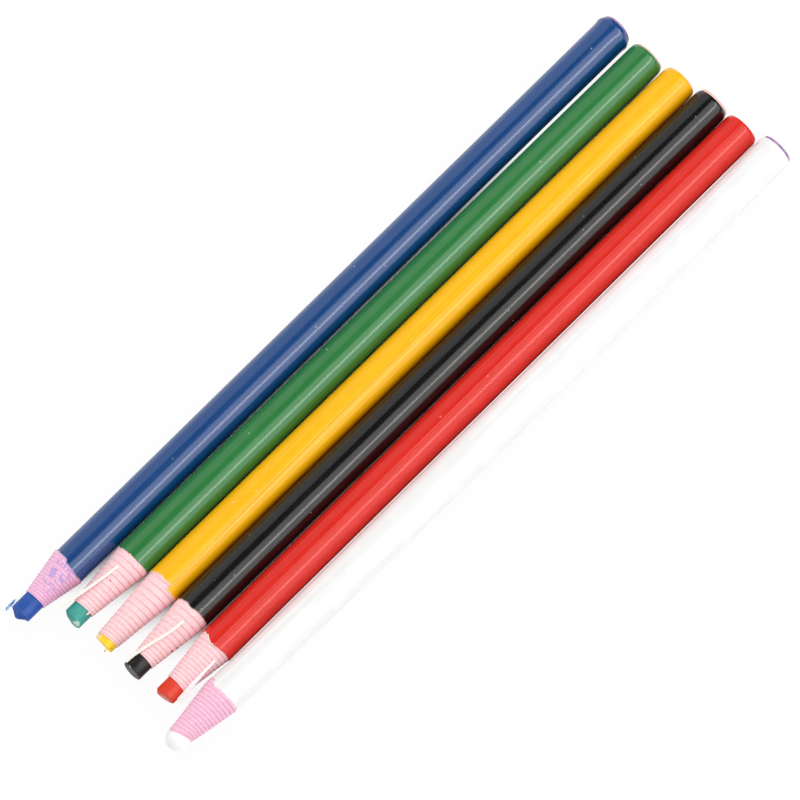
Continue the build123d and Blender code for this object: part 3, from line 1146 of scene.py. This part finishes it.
wax_curl = scrap(-15, [
    ((173.3, -2.1, 0.62), 0.08, 0.05),
    ((173.7, -2.75, 0.75), 0.1, 0.05), ((174.1, -2.68, 0.8), 0.5, 0.06),
    ((174.6, -2.6, 0.88), 0.62, 0.06), ((174.9, -2.52, 0.86), 0.45, 0.06),
    ((175.4, -2.6, 0.86), 0.75, 0.06), ((175.9, -2.55, 0.8), 0.5, 0.06),
    ((176.3, -2.5, 0.7), 0.8, 0.06), ((176.5, -2.45, 0.65), 0.3, 0.06),
    ((176.8, -2.6, 0.6), 0.1, 0.05),
])
# The curl's dark blue is its wax; its pale blue is a painted highlight, mixed in with noise
curl_finish = plain_finish("blue_curl", (0.02, 0.1, 0.4, 1), (0.3, 0.62, 0.85, 1), 0.5)
put_on("blue", "blue_wax_curl", wax_curl, curl_finish, "blue_wax")
wax_crumb = scrap(0, [
    ((169.1, 1.0, -0.35), 0.1, 0.1), ((169.5, 1.03, -0.35), 0.12, 0.12),
    ((169.6, 1.05, -0.35), 0.34, 0.34), ((169.8, 1.08, -0.35), 0.42, 0.4),
    ((169.98, 1.1, -0.35), 0.2, 0.2),
])
put_on("yellow", "yellow_wax_crumb", wax_crumb, WAX_FINISHES["yellow"], "yellow_wax")
paper_flake = scrap(47, [
    ((165.5, 1.8, 1.68), 0.3, 0.05), ((165.9, 1.85, 1.75), 0.55, 0.06),
    ((166.25, 1.83, 1.76), 0.4, 0.05), ((166.5, 1.8, 1.74), 0.1, 0.04),
])
put_on("green", "green_paper_flake", paper_flake, PAPER_FINISHES["green"], "pink_paper")
fibre = scrap(9, [
    ((155.05, 0.75, 3.94), 0.04, 0.04), ((155.35, 0.62, 4.16), 0.07, 0.05),
    ((155.6, 0.58, 4.14), 0.07, 0.05), ((155.95, 0.7, 4.1), 0.04, 0.04),
])
fibre_finish = plain_finish("fibre", (0.2, 0.24, 0.18, 1), (0.45, 0.48, 0.4, 1), 0.9)
put_on("red", "red_loose_fibre", fibre, fibre_finish, "string")


# Table, light and camera
# A plain white sweep under soft boxes on both sides of the row, with a bare tube inside the white side's
# one. The room around it is dim, so the lacquer mirrors a dark gap between the boxes.

TABLE_EDGE = 3.0
TABLE_DROP = 2e-5
# The table is bright wherever it sees more of the room than a narrow slit between two markers does
SLIT_REACH = 0.02
SLIT_DARK, SLIT_BRIGHT = 0.07, 0.16
# Slits wide enough to show the bright table: (middle across the row, place along it where it begins)
WIDE_SLIT_HALF = 0.0018
WIDE_SLIT_SOFT = 0.0006
WIDE_SLIT_FADE = 0.03
WIDE_SLITS = [(0.0176, 0.03), (-0.0159, -0.1)]
# Share of the table's own white in a dark slit, and how much more of it in the open
SLIT_WHITE = 0.02
OPEN_WHITE = 0.92
corners = [(-1, -1), (1, -1), (1, 1), (-1, 1)]
floor_mesh = bpy.data.meshes.new("table")
table_points = [(x * TABLE_EDGE, y * TABLE_EDGE, -TABLE_DROP) for x, y in corners]
floor_mesh.from_pydata(table_points, [], [(0, 1, 2, 3)])
table_top = bpy.data.objects.new("table", floor_mesh)
bpy.context.scene.collection.objects.link(table_top)
sweep = bpy.data.materials.new("table")
sweep.use_nodes = True
start = Field(sweep.node_tree)
open_share = start.node("ShaderNodeAmbientOcclusion", None, {"Distance": SLIT_REACH}, output="AO")
clear = open_share.rise(SLIT_DARK, SLIT_BRIGHT)
apart = start.node("ShaderNodeSeparateXYZ", None, {0: start.node("ShaderNodeTexCoord", output="Object")})
for middle, begins in WIDE_SLITS:
    aside = (apart.also("Y") - middle).math("ABSOLUTE")
    slit = 1 - aside.rise(WIDE_SLIT_HALF - WIDE_SLIT_SOFT, WIDE_SLIT_HALF)
    slit = slit * apart.rise(begins, begins + WIDE_SLIT_FADE)
    clear = clear.math("MAXIMUM", slit)
matt = start.node("ShaderNodeBsdfDiffuse", None, {"Color": (0.9, 0.9, 0.9, 1)})
glow = start.node("ShaderNodeEmission", None, {"Color": (1, 1, 1, 1), "Strength": 1.0})
seen = start.node("ShaderNodeLightPath", output="Is Camera Ray")
white_share = seen * (SLIT_WHITE + OPEN_WHITE * clear)
mixed = start.node("ShaderNodeMixShader", None, {0: white_share, 1: matt, 2: glow})
sweep.node_tree.links.new(mixed.socket, sweep.node_tree.nodes["Material Output"].inputs["Surface"])
floor_mesh.materials.append(sweep)

world = bpy.data.worlds.new("room")
bpy.context.scene.world = world
world.use_nodes = True
start = Field(world.node_tree)
ray = start.node("ShaderNodeLightPath", output="Is Camera Ray")
# The room as it lights the row, as the lacquer mirrors it, and as the camera sees it
room, dark_room, white_room = [
    start.node("ShaderNodeBackground", None, {"Color": (1, 1, 1, 1), "Strength": strength})
    for strength in (0.62, 0.04, 1.0)
]
sky = start.node("ShaderNodeMixShader", None, {0: ray.also("Is Glossy Ray"), 1: room, 2: dark_room})
sky = start.node("ShaderNodeMixShader", None, {0: ray, 1: sky, 2: white_room})
world.node_tree.links.new(sky.socket, world.node_tree.nodes["World Output"].inputs["Surface"])

# Distance of the soft boxes from the row, their length along it, and their lean to the tips in degrees
BOX_DISTANCE = 0.7
BOX_LENGTH = 1.2
BOX_LEAN = 13


def softbox(name, first, last, shine, tint=(1, 1, 1), mirrored=True, lighting=True, nearer=0.0):
    """Lamp over the row that fills the turns from first to last, with its shine against white paper."""
    middle = radians((first + last) / 2)
    lean = radians(BOX_LEAN)
    lamp = bpy.data.lights.new(name, "AREA")
    lamp.shape = "RECTANGLE"
    lamp.size = BOX_LENGTH
    lamp.size_y = 2 * BOX_DISTANCE * tan(radians(last - first) / 2)
    lamp.energy = pi * lamp.size * lamp.size_y * shine
    lamp.color = tint
    box = bpy.data.objects.new(name, lamp)
    bpy.context.scene.collection.objects.link(box)
    way = Vector((sin(lean), -sin(middle) * cos(lean), cos(middle) * cos(lean)))
    box.location = way * (BOX_DISTANCE - nearer)
    box.rotation_mode = "QUATERNION"
    box.rotation_quaternion = way.to_track_quat("Z", "Y")
    box.visible_glossy = mirrored
    box.visible_diffuse = lighting


softbox("white_side_box", 6, 75, 1.65, lighting=False)
softbox("white_side_tube", 36, 43, 5.5, (1.0, 0.95, 0.88), lighting=False, nearer=0.02)
softbox("blue_side_box", -92, -33, 0.7, lighting=False)
softbox("top_fill", -48, 32, 1.05, mirrored=False)
softbox("white_side_fill", 60, 100, 1.1, mirrored=False)

# Camera fitted to the photograph: the point it looks at, its turn, height and distance, and its lens
CAMERA_TARGET = Vector((-3.14, -2.90, 4.07)) * MM
CAMERA_TURN, CAMERA_HEIGHT = radians(-45.88), radians(71.99)
CAMERA_DISTANCE = 1.3
FOCAL_PIXELS = 6365
PICTURE_PIXELS = 800
lens = bpy.data.cameras.new("camera")
lens.sensor_width = 36
lens.lens = FOCAL_PIXELS / PICTURE_PIXELS * lens.sensor_width
lens.clip_start, lens.clip_end = 0.05, 20
camera = bpy.data.objects.new("camera", lens)
bpy.context.scene.collection.objects.link(camera)
back = Vector(
    (sin(CAMERA_TURN) * cos(CAMERA_HEIGHT), -cos(CAMERA_TURN) * cos(CAMERA_HEIGHT), sin(CAMERA_HEIGHT))
)
camera.location = CAMERA_TARGET + back * CAMERA_DISTANCE
camera.rotation_mode = "QUATERNION"
camera.rotation_quaternion = (-back).to_track_quat("-Z", "Y")
bpy.context.scene.camera = camera
bpy.context.scene.view_settings.view_transform = "Standard"
